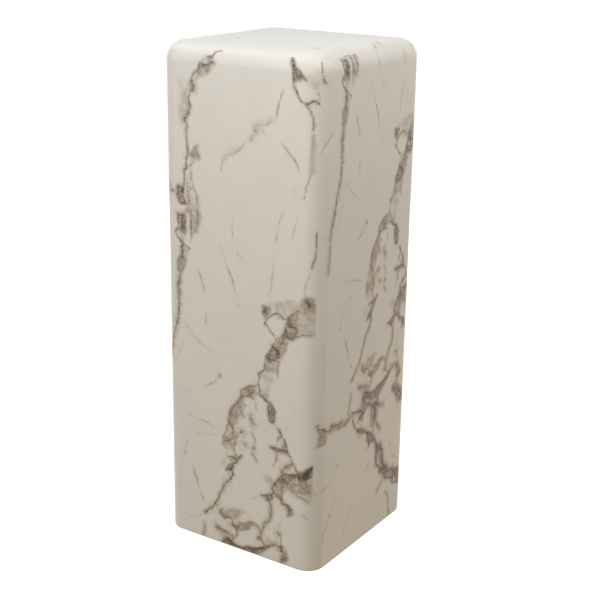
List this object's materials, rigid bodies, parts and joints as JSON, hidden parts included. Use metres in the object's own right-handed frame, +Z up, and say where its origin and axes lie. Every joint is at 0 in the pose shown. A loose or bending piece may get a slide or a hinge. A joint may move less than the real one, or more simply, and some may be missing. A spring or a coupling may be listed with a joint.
{
  "type": "pedestal column stand",
  "caption": "Tall square display pedestal with rounded upright and top edges, covered in glossy white printed marble sheets mitred along the roundings.",
  "frame": {"origin": "on the floor, under the middle of the column", "axes": "+Z up; the front faces -Y and the right side faces +X"},
  "size_m": [0.325, 0.325, 0.9],
  "materials": {
    "printed_sheet": "satin-gloss film printed with a white marble pattern",
    "fibreboard": "raw medium-density fibreboard",
    "post_timber": "planed softwood",
    "batten_timber": "sawn softwood",
    "dowel_timber": "smooth beech",
    "screw_steel": "zinc plated",
    "glide_plastic": "matt white nylon"
  },
  "bodies": {
    "root": {"front_left_post": "post_timber", "front_right_post": "post_timber", "back_right_post": "post_timber", "back_left_post": "post_timber", "front_panel": "fibreboard", "right_panel": "fibreboard", "back_panel": "fibreboard", "left_panel": "fibreboard", "middle_brace": "fibreboard", "base_board": "fibreboard", "front_top_cleat": "batten_timber", "right_top_cleat": "batten_timber", "back_top_cleat": "batten_timber", "left_top_cleat": "batten_timber", "front_bottom_cleat": "batten_timber", "right_bottom_cleat": "batten_timber", "back_bottom_cleat": "batten_timber", "left_bottom_cleat": "batten_timber", "cap_lower_board": "fibreboard", "cap_upper_board": "fibreboard", "cap_dowels": "dowel_timber", "base_screws": "screw_steel", "glides": "glide_plastic", "front_sheet": "printed_sheet", "right_sheet": "printed_sheet", "back_sheet": "printed_sheet", "left_sheet": "printed_sheet", "top_sheet": "printed_sheet"}
  },
  "joints": []
}
